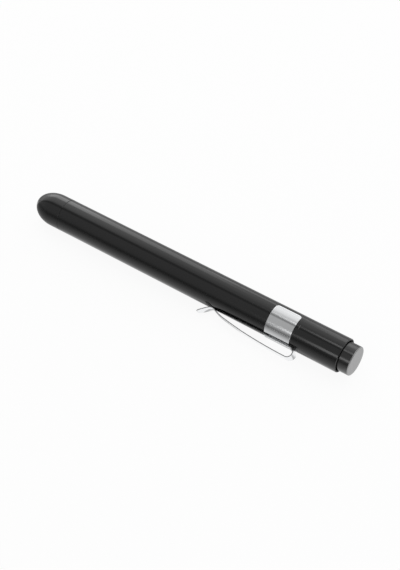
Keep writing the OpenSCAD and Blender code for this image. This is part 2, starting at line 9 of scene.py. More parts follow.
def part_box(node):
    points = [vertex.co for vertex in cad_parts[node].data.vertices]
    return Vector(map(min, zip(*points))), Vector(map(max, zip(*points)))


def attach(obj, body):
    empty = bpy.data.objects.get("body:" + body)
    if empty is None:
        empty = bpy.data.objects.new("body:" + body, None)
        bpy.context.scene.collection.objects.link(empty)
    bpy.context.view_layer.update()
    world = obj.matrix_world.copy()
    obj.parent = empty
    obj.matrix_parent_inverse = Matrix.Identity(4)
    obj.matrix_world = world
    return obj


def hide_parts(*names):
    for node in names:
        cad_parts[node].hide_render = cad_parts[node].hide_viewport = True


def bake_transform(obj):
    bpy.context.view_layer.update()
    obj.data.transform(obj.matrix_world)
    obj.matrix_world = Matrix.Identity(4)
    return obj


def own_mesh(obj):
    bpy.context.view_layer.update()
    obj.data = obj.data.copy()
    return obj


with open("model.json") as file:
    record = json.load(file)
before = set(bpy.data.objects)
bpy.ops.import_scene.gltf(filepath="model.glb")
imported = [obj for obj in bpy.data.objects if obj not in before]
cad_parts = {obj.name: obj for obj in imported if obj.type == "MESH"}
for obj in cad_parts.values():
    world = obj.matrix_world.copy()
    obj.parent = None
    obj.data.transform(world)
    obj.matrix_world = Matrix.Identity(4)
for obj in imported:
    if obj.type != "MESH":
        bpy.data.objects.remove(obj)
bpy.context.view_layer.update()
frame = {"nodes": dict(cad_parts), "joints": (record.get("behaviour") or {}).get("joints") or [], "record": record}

# Barrel: one aluminium tube, turned and bored on a lathe and then anodised satin black all over.
# A screwed socket at its nose end takes the nose cap, the middle bore takes two cells in line and the
# wider tail bore takes the switch and guides the button.
MM = 0.001
joints = {joint["name"]: joint for joint in frame["joints"]}
mounts = {mount["name"]: mount for mount in frame["record"]["mounts"]}
seam_x, axis_y, axis_z = joints["nose_turn"]["pos_m"]
barrel_r = mounts["nose_collar"]["dims"]["r_mm"] * MM
barrel_wall = 0.75 * MM
bore_step = 0.35 * MM
end_bore_r = barrel_r - barrel_wall
cell_bore_r = end_bore_r - bore_step
seam_bevel = 0.16 * MM
tail_bevel = 0.2 * MM
edge_round = 0.06 * MM
barrel_sides = 192
tail_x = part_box("barrel")[1].x
socket_spare = 0.3 * MM
socket_end_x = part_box("nose_cap")[1].x + socket_spare
switch_seat_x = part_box("switch_base")[0].x
clip_sheet = 0.35 * MM
hairpin_reach = 1.8 * MM
band_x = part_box("clip_band")[0].x
band_end_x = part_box("clip_band")[1].x - hairpin_reach - clip_sheet / 2


class Signal:
    """A value in a finish's nodes. Signs between signals and numbers add Math nodes."""

    def __init__(self, tree, socket=None):
        self.tree = tree
        self.socket = socket

    def node(self, kind, settings=None, inputs=None, output=0):
        """Any other node: its settings are set first, then its sockets get values or signals."""
        made = self.tree.nodes.new("ShaderNode" + kind)
        for name, value in (settings or {}).items():
            if name == "stops":
                elements = made.color_ramp.elements
                while len(elements) < len(value):
                    elements.new(1.0)
                for element, (position, colour) in zip(elements, value):
                    element.position = position
                    element.color = colour
            else:
                setattr(made, name, value)
        for name, value in (inputs or {}).items():
            if isinstance(value, Signal):
                self.tree.links.new(value.socket, made.inputs[name])
            else:
                made.inputs[name].default_value = value
        return Signal(self.tree, made.outputs[output])

    def math(self, operation, first, second):
        """A Math node on two values."""
        return self.node("Math", {"operation": operation}, {0: first, 1: second})

    def __add__(self, other):
        return self.math("ADD", self, other)

    def __radd__(self, other):
        return self.math("ADD", other, self)

    def __sub__(self, other):
        return self.math("SUBTRACT", self, other)

    def __rsub__(self, other):
        return self.math("SUBTRACT", other, self)

    def __mul__(self, other):
        return self.math("MULTIPLY", self, other)

    def __rmul__(self, other):
        return self.math("MULTIPLY", other, self)

    def __rtruediv__(self, other):
        return self.math("DIVIDE", other, self)

    def __abs__(self):
        return self.node("Math", {"operation": "ABSOLUTE"}, {0: self})


def finish(name, **constants):
    """A new finish with the values that are the same all over it, and the place of a point on it."""
    material = bpy.data.materials.new(name)
    material.use_nodes = True
    shader = material.node_tree.nodes["Principled BSDF"]
    for socket, value in constants.items():
        shader.inputs[socket.replace("_", " ")].default_value = value
    return material, Signal(material.node_tree).node("TexCoord", output="Object")


def vary(material, **signals):
    """Links what changes over the surface to the finish's shader."""
    shader = material.node_tree.nodes["Principled BSDF"]
    for socket, signal in signals.items():
        material.node_tree.links.new(signal.socket, shader.inputs[socket.replace("_", " ")])


def coordinate(place, axis):
    """One coordinate of a point on the piece, in metres."""
    return place.node("SeparateXYZ", None, {0: place}, axis)


def grain(place, size, stretch=(1, 1, 1), detail=2.0):
    """Noise from 0 to 1 with marks of about the given size, drawn out along an axis by its stretch."""
    squeeze = tuple(1 / (size * share) for share in stretch)
    spot = place.node("VectorMath", {"operation": "MULTIPLY"}, {0: place, 1: squeeze})
    return place.node("TexNoise", None, {"Vector": spot, "Scale": 1.0, "Detail": detail})


def ramp(signal, low, high):
    """A smooth rise from 0 to 1 while the signal goes from low to high, or a fall where low is higher."""
    settings = {"interpolation_type": "SMOOTHSTEP"}
    return signal.node("MapRange", settings, {"Value": signal, "From Min": low, "From Max": high})


def tint(share, colour, other):
    """One colour mixed to another by a share."""
    return share.node("Mix", {"data_type": "RGBA"}, {0: share, 6: colour, 7: other}, 2)


def relief(height, depth):
    """A surface normal for a fine relief of that depth in metres."""
    return height.node("Bump", None, {"Height": height, "Distance": depth})


def grey(level, warmth=0.0):
    """A grey of that linear level, a little warm above 0 and a little cold below."""
    return (level * (1 + warmth), level, level * (1 - warmth), 1.0)


def eased(outline, reach, steps=4):
    """A turned outline with its corners rounded, and a point beside each that keeps the flats flat."""
    straight_from = math.radians(165)
    longest_share = 0.3
    holding_share = 1.5
    last = len(outline) - 1
    loop = outline[0][1] > 0
    points = []
    for i, point in enumerate(outline):
        corner = Vector(point)
        before = Vector(outline[i - 1]) - corner
        after = Vector(outline[(i + 1) % len(outline)]) - corner
        if (i in (0, last) and not loop) or before.angle(after) > straight_from:
            points.append(corner)
            continue
        cut = min(reach, before.length * longest_share, after.length * longest_share)
        start = corner + before.normalized() * cut
        end = corner + after.normalized() * cut
        points.append(corner + before.normalized() * holding_share * cut)
        for k in range(steps + 1):
            share = k / steps
            points.append(start.lerp(corner, share).lerp(corner.lerp(end, share), share))
        points.append(corner + after.normalized() * holding_share * cut)
    return points


def lathe(outline, sides):
    """A mesh turned about the barrel's axis from (x, radius) points.
    An outline that starts and ends on the axis makes a solid, any other one closes into a tube."""
    mesh = bmesh.new()
    rings = []
    for x, radius in outline:
        turns = [math.tau * k / sides for k in range(sides if radius > 0 else 1)]
        rings.append([
            mesh.verts.new((x, axis_y + radius * math.cos(turn), axis_z + radius * math.sin(turn)))
            for turn in turns
        ])
    following = rings[1:] + rings[:1] if outline[0][1] > 0 else rings[1:]
    for near, far in zip(rings, following):
        for k in range(sides):
            corners = [
                near[k % len(near)], near[(k + 1) % len(near)],
                far[(k + 1) % len(far)], far[k % len(far)],
            ]
            mesh.faces.new(list(dict.fromkeys(corners)))
    bmesh.ops.recalc_face_normals(mesh, faces=mesh.faces)
    return mesh


def piece(name, mesh, finishes, body=None, nodes=()):
    """Puts a finished mesh in the scene, on its body, in place of the CAD nodes that it stands for."""
    sharp_from = math.radians(38)
    data = bpy.data.meshes.new(name)
    mesh.to_mesh(data)
    mesh.free()
    data.polygons.foreach_set("use_smooth", [True] * len(data.polygons))
    data.set_sharp_from_angle(angle=sharp_from)
    for one in finishes:
        data.materials.append(one)
    made = bpy.data.objects.new(name, data)
    bpy.context.scene.collection.objects.link(made)
    if body:
        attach(made, body)
    if nodes:
        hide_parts(*nodes)
    return made


def anodised(name, worn_edges, scuffed_edges=(), rough=0.09, gloss_index=1.6, pale_arc=None):
    """Black anodising: fine turning lines, pores and hand marks, bare specks where something rubs.
    A pale arc is a short lighter arc round the barrel, given by its x and its two ends' y."""
    material, place = finish(name, IOR=gloss_index)
    along = coordinate(place, "X")
    lines = grain(place, size=0.09 * MM, stretch=(1, 60, 60), detail=3.0)
    pores = grain(place, size=0.05 * MM)
    hands = grain(place, size=14 * MM, stretch=(2, 1, 1), detail=3.0)
    rubbed = ramp(grain(place, size=0.5 * MM, stretch=(1.6, 1, 1), detail=3.0), low=0.60, high=0.70)
    specks = ramp(grain(place, size=0.42 * MM, stretch=(1, 0.6, 0.6), detail=1.0), low=0.73, high=0.79)
    worn = sum(rubbed * ramp(abs(along - x), low=0.34 * MM, high=0.1 * MM) for x in worn_edges)
    scuffed = sum(specks * ramp(abs(along - x), low=1.9 * MM, high=0.4 * MM) for x in scuffed_edges)
    pale_marks = worn * 0.5 + scuffed
    if pale_arc:
        arc_x, start_y, end_y = pale_arc
        half_arc = (end_y - start_y) / 2
        arc_fade = 0.3 * MM
        top_fade = 1 * MM
        off_middle = abs(coordinate(place, "Y") - (start_y + end_y) / 2)
        arc = ramp(off_middle, low=half_arc, high=half_arc - arc_fade)
        arc = arc * ramp(coordinate(place, "Z"), low=axis_z, high=axis_z + top_fade)
        stripe = ramp(abs(along - arc_x), low=0.16 * MM, high=0.06 * MM)
        pale_marks = pale_marks + arc * stripe * (0.3 + rubbed * 0.7)
    black = tint(pores * 0.6 + hands * 0.4, grey(0.0035), grey(0.0075, -0.03))
    vary(
        material,
        Base_Color=tint(pale_marks, black, grey(0.22, -0.02)),
        Roughness=rough + lines * 0.04 + hands * 0.06 + pale_marks * 0.2,
        Normal=relief(lines * 0.6 + pores * 0.4, depth=0.0006 * MM),
    )
    return material


barrel_outline = eased([
    (seam_x, end_bore_r), (seam_x, barrel_r - seam_bevel), (seam_x + seam_bevel, barrel_r),
    (tail_x - tail_bevel, barrel_r), (tail_x, barrel_r - tail_bevel), (tail_x, end_bore_r + tail_bevel),
    (tail_x - tail_bevel, end_bore_r), (switch_seat_x, end_bore_r), (switch_seat_x, cell_bore_r),
    (socket_end_x, cell_bore_r), (socket_end_x, end_bore_r),
], edge_round)
# A short lighter arc on the barrel's top, 1.4 mm behind the band's rear edge.
pale_arc_x = band_end_x + 1.4 * MM
pale_arc_start_y = axis_y - 3.1 * MM
pale_arc_end_y = axis_y - 1.3 * MM
barrel_finish = anodised(
    "barrel_anodised", (seam_x, tail_x), (band_x, band_end_x), pale_arc=(pale_arc_x, pale_arc_start_y, pale_arc_end_y),
)
end_finish, place = finish("barrel_end_black", IOR=1.3)
sawn = grain(place, size=0.06 * MM, stretch=(1, 4, 4), detail=3.0)
vary(
    end_finish,
    Base_Color=tint(sawn, grey(0.003), grey(0.006)),
    Roughness=0.55 + sawn * 0.15,
    Normal=relief(sawn, depth=0.004 * MM),
)
barrel_mesh = lathe(barrel_outline, barrel_sides)
for face in barrel_mesh.faces:
    middle = face.calc_center_median()
    from_axis = math.hypot(middle.y - axis_y, middle.z - axis_z)
    face.material_index = int(middle.x > tail_x - tail_bevel and from_axis < barrel_r - tail_bevel)
piece("barrel_tube", barrel_mesh, [barrel_finish, end_finish], "barrel", ["barrel"])

# Socket thread: the screw thread cut inside the barrel's nose end, for the nose cap to screw into.
# Right-handed, 0.8 mm pitch, with its crests just clear of the nose cap's own thread.
thread_pitch = 0.8 * MM
thread_depth = 0.35 * MM
thread_root_width = 0.6 * MM
thread_crest_width = 0.16 * MM
thread_clear = 0.04 * MM
thread_run_out = math.radians(70)
spigot_land = 1.8 * MM
land_end_x = seam_x + spigot_land
thread_core_r = end_bore_r - thread_depth
socket_thread_x = land_end_x + 0.5 * MM
socket_thread_end_x = socket_end_x - 0.4 * MM


def screw_thread(start_x, end_x, root_r, crest_r, phase):
    """One ridge that winds right-handed along the barrel's axis and runs out at both ends."""
    mesh = bmesh.new()
    steps_per_turn = 72
    lowest_rise = 0.02
    turned = math.tau * (end_x - start_x) / thread_pitch
    count = int(steps_per_turn * turned / math.tau)
    rings = []
    for i in range(count + 1):
        turn = turned * i / count
        rise = min(1.0, turn / thread_run_out, (turned - turn) / thread_run_out)
        middle = start_x + thread_pitch * turn / math.tau
        top_r = root_r + (crest_r - root_r) * max(rise, lowest_rise)
        shape = [
            (-thread_root_width / 2, root_r), (-thread_crest_width / 2, top_r),
            (thread_crest_width / 2, top_r), (thread_root_width / 2, root_r),
        ]
        angle = turn + math.tau * (start_x - seam_x) / thread_pitch + phase
        rings.append([
            mesh.verts.new((middle + dx, axis_y + r * math.cos(angle), axis_z + r * math.sin(angle)))
            for dx, r in shape
        ])
    for near, far in zip(rings, rings[1:]):
        for k in range(len(near)):
            mesh.faces.new((near[k - 1], near[k], far[k], far[k - 1]))
    mesh.faces.new(rings[0])
    mesh.faces.new(rings[-1])
    bmesh.ops.recalc_face_normals(mesh, faces=mesh.faces)
    return mesh


socket_thread = screw_thread(
    socket_thread_x, socket_thread_end_x, end_bore_r, thread_core_r + thread_clear, phase=0.0,
)
piece("socket_thread", socket_thread, [barrel_finish], "barrel")

# Pocket clip: one strip of bright spring steel, blanked, hardened and bent up in a press tool.
# A C-shaped band snaps round the barrel, the strip folds back at a hairpin and bows down to a grip near
# the middle of the barrel, and its end turns up as a lip that rides over a pocket's edge.
band_length = 10.5 * MM
band_wrap = math.radians(270)
band_corner = 1.2 * MM
band_clear = 0.02 * MM
tongue_width = 5.0 * MM
tip_width = 4.0 * MM
tip_corner = 1.4 * MM
root_bend = 0.7 * MM
root_ramp = math.radians(37)
hairpin_bend = 2.0 * MM
hairpin_bulge = 0.75 * MM
bow_setback = 0.9 * MM
tongue_bow = 203 * MM
bow_fall = math.radians(8)
dip_bend = 19.5 * MM
dip_fall = math.radians(22.5)
lip_bend = 2.6 * MM
lip_rise = math.radians(37)
lip_length = 4.6 * MM
touch_gap = 0.08 * MM
flat_depth = 0.9 * MM
clip_edge_round = 0.12 * MM
quarter_turn = math.pi / 2
flex_point = Vector(joints["clip_flex"]["pos_m"])
clip_out = (flex_point - Vector((flex_point.x, axis_y, axis_z))).normalized()
clip_across = Vector(joints["clip_flex"]["axis"]).normalized()
band_mid_r = barrel_r + band_clear + clip_sheet / 2
wall_x = band_end_x + hairpin_reach
lip_centre_u = barrel_r + touch_gap + clip_sheet / 2 + lip_bend
dip_centre_u = lip_centre_u - (dip_bend + lip_bend) * math.cos(dip_fall)
bow_centre_u = dip_centre_u - (tongue_bow - dip_bend) * math.cos(bow_fall)
bow_top_u = bow_centre_u + tongue_bow
bow_x = wall_x - bow_setback
hairpin_u = bow_top_u - hairpin_bend
fold_x = wall_x + hairpin_bulge
ramp_rise = hairpin_u - band_mid_r - root_bend
root_x = fold_x - root_bend - ramp_rise / math.tan(root_ramp)
dip_centre_x = bow_x - (tongue_bow - dip_bend) * math.sin(bow_fall)
lip_centre_x = dip_centre_x - (dip_bend + lip_bend) * math.sin(dip_fall)
lip_x = lip_centre_x - lip_bend * math.sin(lip_rise)
lip_u = lip_centre_u - lip_bend * math.cos(lip_rise)
tip_x = lip_x - lip_length * math.cos(lip_rise) - clip_sheet / 2


def bend(centre_x, centre_u, radius, start, end, steps, side=1):
    """Points of a bend as (x, distance from the axis, heading); headings go from 0, noseward, to half
    a turn, tailward. A side of -1 puts the bend's centre outside the strip."""
    points = []
    for i in range(steps + 1):
        heading = start + (end - start) * i / steps
        x = centre_x + side * radius * math.sin(heading)
        u = centre_u + side * radius * math.cos(heading)
        points.append((x, u, heading))
    return points


def strip_path(inset):
    """The strip's middle line from the band's edge to the tip, which is drawn in by an inset."""
    lip_steps = 16
    straight_lip = []
    for k in range(1, lip_steps + 1):
        run = (lip_length - inset) * math.sin(quarter_turn * k / lip_steps)
        x = lip_x - run * math.cos(lip_rise)
        u = lip_u + run * math.sin(lip_rise)
        straight_lip.append((x, u, lip_rise))
    ramp_heading = math.pi - root_ramp
    return (
        bend(root_x, band_mid_r + root_bend, root_bend, math.pi, ramp_heading, steps=6)
        + bend(fold_x - root_bend, hairpin_u, root_bend, ramp_heading, quarter_turn, steps=8)
        + bend(fold_x - hairpin_bend, hairpin_u, hairpin_bend, quarter_turn, 0.0, steps=18)[1:]
        + bend(bow_x, bow_centre_u, tongue_bow, 0.0, -bow_fall, steps=40)[1:]
        + bend(dip_centre_x, dip_centre_u, dip_bend, -bow_fall, -dip_fall, steps=12)[1:]
        + bend(lip_centre_x, lip_centre_u, lip_bend, -dip_fall, lip_rise, steps=20, side=-1)[1:]
        + straight_lip
    )


def corner_cut(distance, radius):
    """How far a rounded corner stands back at a distance from the edge that it rounds."""
    rest = max(radius - distance, 0.0)
    return radius - math.sqrt(max(radius * radius - rest * rest, 0.0))


def tongue_half_width(x, inset):
    """Half the strip's width at a place along the barrel: it tapers to the lip and ends round."""
    along = min(max((wall_x - x) / (wall_x - tip_x), 0.0), 1.0)
    straight = (tongue_width + (tip_width - tongue_width) * along) / 2
    return straight - inset - corner_cut(x - tip_x - inset, tip_corner - inset)


def held(count, hold):
    """Shares from 0 to 1 in even steps, with one more close to either end."""
    return [0.0, hold] + [k / count for k in range(1, count)] + [1.0 - hold, 1.0]


def clip_point(x, u, offset, heading, across, flat):
    """A point of the sheet, off its middle by an offset; flat goes from 0, rolled, to 1, flat."""
    x += offset * math.sin(heading)
    u += offset * math.cos(heading)
    angle = across / band_mid_r
    rolled = clip_out * (u * math.cos(angle)) + clip_across * (u * math.sin(angle))
    level = clip_out * u + clip_across * across
    return Vector((x, axis_y, axis_z)) + rolled.lerp(level, flat)


def clip_rows(inset):
    """Rows of the sheet with its outline drawn in by an inset, the band's first and then the strip's.
    A row holds its x, distance from the axis, heading, flatness and places across by column."""
    strip_shares = [2 * share - 1 for share in held(count=10, hold=0.03)]
    side_shares = held(count=40, hold=0.004)[1:]
    corner_steps = 8
    middle_steps = 16
    just_under = 0.01
    root_half = tongue_width / 2 - inset
    length = band_length - 2 * inset
    corner = band_corner - inset
    straight = length - 2 * corner
    entering = [corner * (1 - math.cos(quarter_turn * k / corner_steps)) for k in range(corner_steps + 1)]
    middle = [corner + straight * k / middle_steps for k in range(1, middle_steps)]
    leaving = [length - place_in for place_in in reversed(entering)]
    rows = []
    for place_in in entering + middle + leaving:
        half = band_wrap / 2 * band_mid_r - inset - corner_cut(min(place_in, length - place_in), corner)
        side = [root_half + (half - root_half) * share for share in side_shares]
        across = [-v for v in reversed(side)] + [root_half * share for share in strip_shares] + side
        rows.append((band_x + inset + place_in, band_mid_r, math.pi, 0.0, dict(enumerate(across))))
    band_rows = len(rows)
    first = len(side_shares)
    flat_rise = bow_top_u - flat_depth - band_mid_r
    for x, u, heading in strip_path(inset):
        flat = min(max((u - band_mid_r) / flat_rise, 0.0), 1.0)
        half = root_half if heading > quarter_turn - just_under else tongue_half_width(x, inset)
        across = {first + c: half * share for c, share in enumerate(strip_shares)}
        rows.append((x, u, heading, flat, across))
    return rows, band_rows


def clip_mesh():
    """Band and strip as one sheet of even thickness, with its cut edges rounded over.
    Finishes are numbered as in clip_finishes."""
    bright, sheared, painted_shade = range(3)
    rim_steps = 3
    half_sheet = clip_sheet / 2
    rim = []
    for k in range(rim_steps + 1):
        turn = quarter_turn * k / rim_steps
        inset = clip_edge_round * (1 - math.sin(turn))
        rim.append((inset, half_sheet - clip_edge_round * (1 - math.cos(turn))))
    rim += [(inset, -offset) for inset, offset in reversed(rim)]
    layers = [clip_rows(inset)[0] for inset, offset in rim]
    band_rows = clip_rows(0.0)[1]
    mesh = bmesh.new()
    corners = {}

    def corner(layer, i, c):
        """The sheet's corner at a row and column, on one of the rim's layers from face to face."""
        if (layer, i, c) not in corners:
            x, u, heading, flat, across = layers[layer][i]
            point = clip_point(x, u, rim[layer][1], heading, across[c], flat)
            corners[layer, i, c] = mesh.verts.new(point)
        return corners[layer, i, c]

    columns = [across for x, u, heading, flat, across in layers[0]]
    last = len(rim) - 1
    open_edges = {}
    for i in range(len(columns) - 1):
        for c in range(len(columns[0]) - 1):
            cell = [(i, c), (i, c + 1), (i + 1, c + 1), (i + 1, c)]
            if all(column in columns[row] for row, column in cell):
                mesh.faces.new([corner(0, *key) for key in cell])
                inner = mesh.faces.new([corner(last, *key) for key in reversed(cell)])
                # The strip's inner face takes painted shade, a dark steel standing for the black barrel it faces;
                # the band's inner face stays bright.
                inner.material_index = painted_shade if i >= band_rows else bright
                for a, b in zip(cell, cell[1:] + cell[:1]):
                    edge = frozenset((a, b))
                    open_edges[edge] = None if edge in open_edges else (a, b)
    for a, b in filter(None, open_edges.values()):
        for layer in range(last):
            around = [corner(layer, *b), corner(layer, *a), corner(layer + 1, *a), corner(layer + 1, *b)]
            on_band = max(a[0], b[0]) < band_rows
            mesh.faces.new(around).material_index = bright if on_band else sheared
    bmesh.ops.recalc_face_normals(mesh, faces=mesh.faces)
    return mesh


def bright_steel(name, level, rough, cut=False):
    """Polished spring steel: fine rolling lines along the strip, rougher where it was sheared."""
    material, place = finish(name, Metallic=1.0)
    haze = grain(place, size=5 * MM, stretch=(2, 1, 1))
    if cut:
        marks = grain(place, size=0.08 * MM, detail=3.0)
        marks_rough = 0.14
        marks_depth = 0.006 * MM
    else:
        marks = grain(place, size=0.05 * MM, stretch=(90, 1, 1), detail=3.0)
        marks_rough = 0.04
        marks_depth = 0.0005 * MM
    dark = grey(level * 0.9, -0.01)
    light = grey(level * 1.08, -0.012)
    vary(
        material,
        Base_Color=tint(marks * 0.5 + haze * 0.5, dark, light),
        Roughness=rough + marks * marks_rough + haze * 0.05,
        Normal=relief(marks, marks_depth),
    )
    return material


clip_finishes = [
    bright_steel("clip_steel", level=0.9, rough=0.08),
    bright_steel("clip_cut_edge", level=0.42, rough=0.26, cut=True),
    # Painted shade: the strip's inner face is set far darker than the outer steel, as if it reflected the black
    # barrel.
    bright_steel("clip_inner_steel", level=0.28, rough=0.22),
]
clip = piece("pocket_clip", clip_mesh(), clip_finishes)
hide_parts("clip_band", "clip_tongue")
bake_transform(clip)

# Switch contacts: a punched fibre disc with a brass rivet through it, a brass ring that earths the switch
# to the barrel and a brass washer on the rotor that joins the two when the light is on.


def dress(material, *names):
    """Gives CAD nodes that are shown as they are their finish."""
    for name in names:
        slots = frame["nodes"][name].data.materials
        slots.clear()
        slots.append(material)


def turned_metal(name, dark, light, rough):
    """Bare turned or stamped metal: rings round the axis, with a dull bloom in patches."""
    material, place = finish(name, Metallic=1.0)
    rings = grain(place, size=0.12 * MM, stretch=(1, 40, 40), detail=3.0)
    bloom = grain(place, size=1.5 * MM, detail=3.0)
    vary(
        material,
        Base_Color=tint(bloom, dark, light),
        Roughness=rough + rings * 0.12 + bloom * 0.1,
        Normal=relief(rings, depth=0.003 * MM),
    )
    return material


def moulded(name, dark, light, rough, speck=0.3 * MM):
    """Moulded plastic or pressed fibre: slight mottle and a fine eroded-tool grain."""
    material, place = finish(name, IOR=1.5)
    mottle = grain(place, speck, detail=4.0)
    skin = grain(place, size=0.06 * MM)
    vary(
        material,
        Base_Color=tint(mottle, dark, light),
        Roughness=rough + skin * 0.16,
        Normal=relief(skin, depth=0.004 * MM),
    )
    return material


brass = turned_metal(
    "contact_brass", dark=(0.46, 0.31, 0.11, 1), light=(0.68, 0.49, 0.2, 1), rough=0.24,
)
fibre = moulded(
    "base_fibre", dark=(0.15, 0.08, 0.035, 1), light=(0.25, 0.14, 0.065, 1), rough=0.5, speck=0.2 * MM,
)
dress(brass, "centre_rivet", "earth_ring", "moving_contact")
dress(fibre, "switch_base")

# Click mechanism: a moulded housing with guide slots, a rotor with fins and cam teeth, and a plunger
# whose matching teeth turn the rotor one step at each press. A turned ring holds it in the barrel.
housing_plastic = moulded("housing_plastic", grey(0.62, 0.05), grey(0.74, 0.05), rough=0.42)
rotor_plastic = moulded(
    "rotor_plastic", dark=(0.42, 0.06, 0.04, 1), light=(0.55, 0.09, 0.06, 1), rough=0.3,
)
plunger_plastic = moulded(
    "plunger_plastic", dark=(0.52, 0.3, 0.045, 1), light=(0.64, 0.39, 0.07, 1), rough=0.3,
)
dress(housing_plastic, "switch_housing")
dress(rotor_plastic, "switch_rotor")
dress(plunger_plastic, "switch_plunger")
dress(turned_metal("retainer_metal", grey(0.38), grey(0.5), rough=0.3), "switch_retainer")

# Springs: round nickel-plated music wire, coiled with closed ends. The taper one presses the cells
# against the lamp's board, the straight one pushes the rotor and the button out again.
battery_wire_r = 0.275 * MM
battery_small_r = 2.1 * MM
battery_large_r = 3.4 * MM
return_wire_r = 0.2 * MM
return_inset = 1.27 * MM
return_r = end_bore_r - return_inset
spring_turns = 4.5
closed_turns = 0.8


def wire(points, radius, sides=12):
    """A round wire along a row of points, with slightly domed ends."""
    dome_share = 0.25
    mesh = bmesh.new()
    rings = []
    up = None
    for i, point in enumerate(points):
        heading = (points[min(i + 1, len(points) - 1)] - points[max(i - 1, 0)]).normalized()
        up = heading.orthogonal() if up is None else up - heading * up.dot(heading)
        up.normalize()
        beside = heading.cross(up)
        rings.append([
            mesh.verts.new(point + (up * math.cos(turn) + beside * math.sin(turn)) * radius)
            for turn in (math.tau * k / sides for k in range(sides))
        ])
    for near, far in zip(rings, rings[1:]):
        for k in range(sides):
            mesh.faces.new((near[k - 1], near[k], far[k], far[k - 1]))
    for ring, tip, inner in ((rings[0], points[0], points[1]), (rings[-1], points[-1], points[-2])):
        cap = mesh.verts.new(tip + (tip - inner).normalized() * radius * dome_share)
        for k in range(sides):
            mesh.faces.new((ring[k - 1], ring[k], cap))
    bmesh.ops.recalc_face_normals(mesh, faces=mesh.faces)
    return mesh


def coil(node, wire_r, start_r, end_r):
    """A spring of round wire in the space of its CAD node, whose first and last turns lie nearly flat."""
    per_turn = 40
    closed_rise = 0.12
    closed_share = closed_turns / spring_turns
    flat = closed_rise * closed_share
    low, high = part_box(node)
    start_x = low.x + wire_r
    end_x = high.x - wire_r
    points = []
    for i in range(int(per_turn * spring_turns) + 1):
        share = i / (per_turn * spring_turns)
        if share < closed_share:
            rise = flat * share / closed_share
        elif share > 1 - closed_share:
            rise = 1 - flat * (1 - share) / closed_share
        else:
            rise = flat + (1 - 2 * flat) * (share - closed_share) / (1 - 2 * closed_share)
        radius = start_r + (end_r - start_r) * share
        turn = math.tau * spring_turns * share
        x = start_x + (end_x - start_x) * rise
        points.append(Vector((x, axis_y + radius * math.cos(turn), axis_z + radius * math.sin(turn))))
    return wire(points, wire_r)


spring_finish, place = finish("spring_wire", Metallic=1.0)
draw = grain(place, size=0.07 * MM, detail=3.0)
vary(
    spring_finish,
    Base_Color=tint(draw, grey(0.5, 0.02), grey(0.66, 0.03)),
    Roughness=0.16 + draw * 0.16,
    Normal=relief(draw, depth=0.002 * MM),
)
battery_coil = coil("battery_spring", battery_wire_r, battery_small_r, battery_large_r)
piece("battery_coil", battery_coil, [spring_finish], "barrel", ["battery_spring"])
return_mesh = coil("return_spring", return_wire_r, return_r, return_r)
return_coil = piece("return_coil", return_mesh, [spring_finish], "barrel", ["return_spring"])
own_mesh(return_coil)

# Push button: a black anodised cap, turned from bar, pressed on the plunger's stem.
# Its skirt slides in the barrel's tail bore with a fine gap all round.
button_gap = 0.2 * MM
button_floor = 1.6 * MM
button_skirt = 0.9 * MM
stem_hole_r = 2.32 * MM
boss_r = 3.6 * MM
boss_length = 5.5 * MM
pin_hole_r = 1.52 * MM
pin_hole_depth = 0.85 * MM
button_sides = 160
button_low, button_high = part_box("push_button")
button_x = button_low.x
button_end_x = button_high.x
button_r = end_bore_r - button_gap
button_floor_x = button_end_x - button_floor
button_skirt_r = button_r - button_skirt
boss_x = button_floor_x - boss_length
pin_hole_x = button_end_x - pin_hole_depth
button_outline = eased([
    (button_floor_x, 0.0), (button_floor_x, stem_hole_r), (boss_x, stem_hole_r), (boss_x, boss_r),
    (button_floor_x, boss_r), (button_floor_x, button_skirt_r), (button_x, button_skirt_r),
    (button_x, button_r), (button_end_x, button_r), (button_end_x, pin_hole_r),
    (pin_hole_x, pin_hole_r), (pin_hole_x, 0.0),
], edge_round)
button_finish = anodised("button_anodised", (button_end_x,), rough=0.16, gloss_index=1.75)
button_mesh = lathe(button_outline, button_sides)
piece("button_cap", button_mesh, [button_finish], "button", ["push_button"])

# Button disc: a bare metal plate faced on a lathe, with a bevelled rim and a pin behind it that is
# pressed into the button. Facing leaves faint rings round its middle.
disc_low, disc_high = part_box("button_disc")
face_x = disc_high.x
disc_bevel = 0.25 * MM
disc_pin_r = 1.5 * MM
rings_per_metre = 11000.0
disc_outline = eased([
    (disc_low.x, 0.0), (disc_low.x, disc_pin_r), (button_end_x, disc_pin_r), (button_end_x, button_r),
    (face_x - disc_bevel, button_r), (face_x, button_r - disc_bevel), (face_x, 0.0),
], edge_round)
disc_finish, place = finish("disc_metal", Metallic=1.0)
off_axis = place.node("VectorMath", {"operation": "SUBTRACT"}, {0: place, 1: (0, axis_y, axis_z)})
across = place.node("VectorMath", {"operation": "MULTIPLY"}, {0: off_axis, 1: (0, 1, 1)})
radius = place.node("VectorMath", {"operation": "LENGTH"}, {0: across}, "Value")
ring_count = radius * rings_per_metre
facing = place.node("TexNoise", {"noise_dimensions": "1D"}, {"W": ring_count, "Scale": 1.0, "Detail": 3.0})
bloom = grain(place, size=2.2 * MM, detail=3.0)
nicks = ramp(grain(place, size=0.16 * MM, stretch=(1, 3, 0.7)), low=0.66, high=0.74)
# Painted shade: the plate's metal is set darker than bare metal would be, for the darker floor behind the tail
# that its face reflects.
vary(
    disc_finish,
    Base_Color=tint(bloom * 0.6 + facing * 0.4, grey(0.3), grey(0.38)),
    Roughness=0.3 + facing * 0.1 + bloom * 0.08 + nicks * 0.1,
    Normal=relief(facing + nicks * 0.4, depth=0.003 * MM),
)
disc_mesh = lathe(disc_outline, button_sides)
piece("button_face", disc_mesh, [disc_finish], "button", ["button_disc"])

